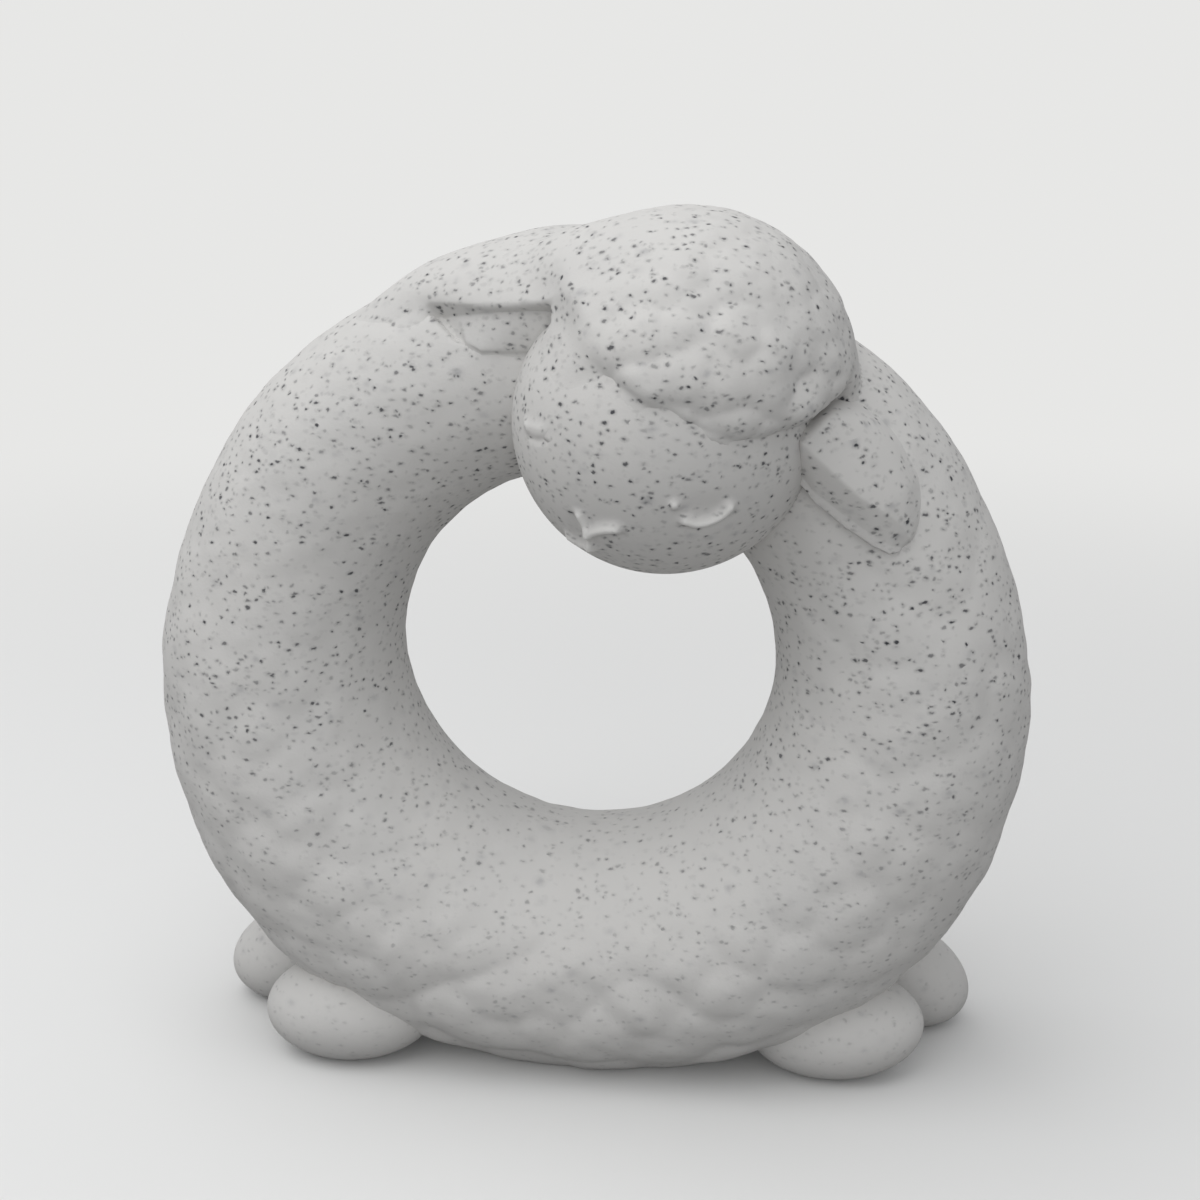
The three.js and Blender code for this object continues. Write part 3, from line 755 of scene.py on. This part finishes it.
def capWithFlare(p):
    own, place, around = capField(p), headPlace(p), ringPlace(p)[1]
    left = -place[..., 0]
    flare = mixed(capFleece["flare"], capFleece["frontFlare"], ease(around, *capFleece["frontFrom"]))
    # soft up on the neck's side and at the rim's left end
    neckSoft = mixed(capFleece["neckSoft"], flare, ease(left, *capFleece["neckSide"]))
    faceSoft = mixed(capFleece["faceSoft"], capFleece["faceFlare"], ease(left, *capFleece["faceSide"]))
    face = np.linalg.norm(place, axis=-1) - headSizes["faceRadius"] + capFleece["faceGap"]
    joined = softMin(softMin(own, neckField(p), neckSoft), face, faceSoft)
    held = np.maximum(joined, own - np.maximum(neckSoft, faceSoft))
    return softMax(held, pocketRoom(p), capFleece["pocketRound"])


def buildCap():
    directions, faces = ballMesh(capFleece["level"])
    heart = faceCentre + np.array(capFleece["heart"]) @ headAxes
    points = castOut(heart, directions, capWithFlare, *capFleece["cast"])
    outward = points - capCentre
    outward /= np.linalg.norm(outward, axis=1, keepdims=True)
    downward = -headAxes[2] + outward * (outward @ headAxes[2])[:, None]
    own, place = capField(points), headPlace(points)
    onOwn = 1 - ease(own, *capFleece["plainFrom"])     # plain where it runs out
    share, middle, width = capFleece["runOut"]
    wool = ease(neckField(points), *capFleece["offNeck"]) * (1 - share * bump(own, middle, width))
    wool *= mixed(capFleece["behind"], 1, ease(-place[:, 1], *capFleece["toFront"]))
    wool *= fade(overRim(place), *capFleece["upFade"])
    wool *= fade(-place[:, 0], *capFleece["leftFade"])
    piece = makePiece("fleeceCap", points, [faces], {
        "outward": outward * onOwn[:, None], "lane": place / capFleece["pitch"], "leanWay": downward, "wool": wool,
    })
    growFleece(piece, capFleece)
    return piece


fleeceCap = buildCap()
print("cap", len(fleeceCap.data.polygons))


# hooves, smooth blobs that run in under the belly

hoofSizes = {"level": 6, "halfLength": 21, "halfDepth": 14, "halfHeight": 13, "flat": 0.8, "footRound": 1.6}
hooves = {
    "front_left_hoof": {"clock": 213.7, "forward": 13.6, "tilt": 4},
    "front_right_hoof": {"clock": 144.2, "forward": 7.5, "tilt": -4},
    "back_left_hoof": {"clock": 221.5, "forward": -13, "tilt": 18},
    "back_right_hoof": {"clock": 138.3, "forward": -20, "tilt": 22},
}


def buildHoof(name, hoof):
    tilt = math.radians(hoof["tilt"])
    length, depth, tall = hoofSizes["halfLength"], hoofSizes["halfDepth"], hoofSizes["halfHeight"]
    lift = math.hypot(length * math.sin(tilt), tall * math.cos(tilt)) - hoofSizes["flat"]
    height = lift - ringSizes["baseDrop"]
    centre = np.array([height * math.tan(math.radians(hoof["clock"])), -hoof["forward"], height])
    directions, faces = ballMesh(hoofSizes["level"])
    lean = tilt if centre[0] > 0 else -tilt
    turn = np.array(Matrix.Rotation(lean, 3, "Y"))
    points = centre + (directions * np.array([length, depth, tall])) @ turn.T
    floor, sink = -ringSizes["baseDrop"], hoofSizes["footRound"] / 4     # softMax lifts by a quarter of its width
    points[:, 2] = floor + softMax(points[:, 2] - floor - sink, np.full(len(points), -sink), hoofSizes["footRound"])
    points[:, 2] = np.maximum(points[:, 2], floor)
    piece = makePiece(name.title().replace("_", ""), points, [faces])
    piece.data.materials.append(hoofStone)
    return piece


hoofPieces = {name: buildHoof(name, hoof) for name, hoof in hooves.items()}
print("hooves made")


# pieces onto the frame

standsFor = {
    "body_front_half": frontHalf, "body_back_half": backHalf, "face": facePiece, "fleece_cap": fleeceCap,
    "left_ear": leftEarPiece, "right_ear": rightEarPiece, **hoofPieces,
}
for node, piece in standsFor.items():
    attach(piece, "root")
    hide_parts(node)
for name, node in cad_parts.items():
    if "dowel" in name:
        node.data.materials.clear()
        node.data.materials.append(dowelSteel)
print("pieces on the frame")


# studio: pale floor, soft lamps and the camera

studio = {
    "floorSize": 80.0, "paper": (0.80, 0.80, 0.79, 1), "paperRough": 0.9, "bounce": (0.24, 0.24, 0.24, 1),
    "backdrop": (0.80, 0.80, 0.79, 1), "fadeFrom": 0.22, "fadeTo": 0.75,
    "lamps": [((-0.38, -0.26, 1.15), 1.4, 9.0), ((0.10, -1.2, 0.35), 1.0, 2.8)],    # place, size and power
    "sky": (0.97, 0.98, 1.0, 1), "skyStrength": 0.55, "backdropStrength": 1.0,
    # camera at the photo's angle: eye in mm from the ring's centre, and its axes
    "eye": (55.6, -422.1, 145.8), "lens": 58.185, "sensor": 36.0, "shift": (0.01025, 0.0569), "clip": (0.01, 50),
    "right": (0.99144, 0.13053, 0.0), "up": (-0.04228, 0.32115, 0.94609), "toward": (0.12349, -0.93799, 0.32392),
}


def seenRay(tree):
    ray = addNode(tree, "ShaderNodeLightPath").outputs
    mirrored = mathNode(tree, "MAXIMUM", ray["Is Glossy Ray"], ray["Is Transmission Ray"])
    return mathNode(tree, "MAXIMUM", ray["Is Camera Ray"], mirrored)


def layFloor():
    bpy.ops.mesh.primitive_plane_add(size=studio["floorSize"], location=(0, 0, frontLow.z))
    floor = bpy.context.object
    floor.name = "studioFloor"
    paper, tree, shader = newMaterial("palePaper")
    shader.inputs["Roughness"].default_value = studio["paperRough"]
    seen = seenRay(tree)
    tree.links.new(mixColour(tree, seen, studio["bounce"], studio["paper"]), shader.inputs["Base Color"])
    place = addNode(tree, "ShaderNodeTexCoord").outputs["Object"]
    away = addNode(tree, "ShaderNodeVectorMath", {0: place}, operation="LENGTH").outputs["Value"]
    far = spread(tree, away, studio["fadeFrom"], studio["fadeTo"], 0.0, 1.0, interpolation_type="SMOOTHSTEP")
    glow = addNode(tree, "ShaderNodeEmission", {"Color": studio["backdrop"]})
    shown = addNode(tree, "ShaderNodeMixShader", {0: mathNode(tree, "MULTIPLY", far, seen),
                                                  1: shader.outputs[0], 2: glow.outputs[0]})
    tree.links.new(shown.outputs[0], tree.nodes["Material Output"].inputs["Surface"])
    floor.data.materials.append(paper)


def hangLamps():
    aim = Vector(ringCentre)
    for place, size, power in studio["lamps"]:
        lamp = bpy.data.lights.new("softLamp", "AREA")
        lamp.size, lamp.energy = size, power
        holder = bpy.data.objects.new("softLamp", lamp)
        holder.location = place
        holder.rotation_euler = (aim - Vector(place)).to_track_quat("-Z", "Y").to_euler()
        bpy.context.collection.objects.link(holder)


def lightSky():
    world = bpy.data.worlds.new("studioSky")
    world.use_nodes = True
    tree = world.node_tree
    sky = tree.nodes["Background"]
    sky.inputs[0].default_value, sky.inputs[1].default_value = studio["sky"], studio["skyStrength"]
    backdrop = addNode(tree, "ShaderNodeBackground", {0: studio["backdrop"], 1: studio["backdropStrength"]})
    shown = addNode(tree, "ShaderNodeMixShader", {0: seenRay(tree), 1: sky.outputs[0], 2: backdrop.outputs[0]})
    tree.links.new(shown.outputs[0], tree.nodes["World Output"].inputs["Surface"])
    bpy.context.scene.world = world


def placeCamera():
    lens = bpy.data.cameras.new("photoCamera")
    lens.sensor_width, lens.lens = studio["sensor"], studio["lens"]
    lens.shift_x, lens.shift_y = studio["shift"]
    lens.clip_start, lens.clip_end = studio["clip"]
    camera = bpy.data.objects.new("photoCamera", lens)
    axes = Matrix((studio["right"], studio["up"], studio["toward"])).transposed().to_4x4()
    camera.matrix_world = Matrix.Translation(Vector(ringCentre) + Vector(studio["eye"]) * mm) @ axes
    bpy.context.collection.objects.link(camera)
    bpy.context.scene.camera = camera


layFloor()
hangLamps()
lightSky()
placeCamera()
bpy.context.scene.view_settings.view_transform = "Standard"
print("studio set")
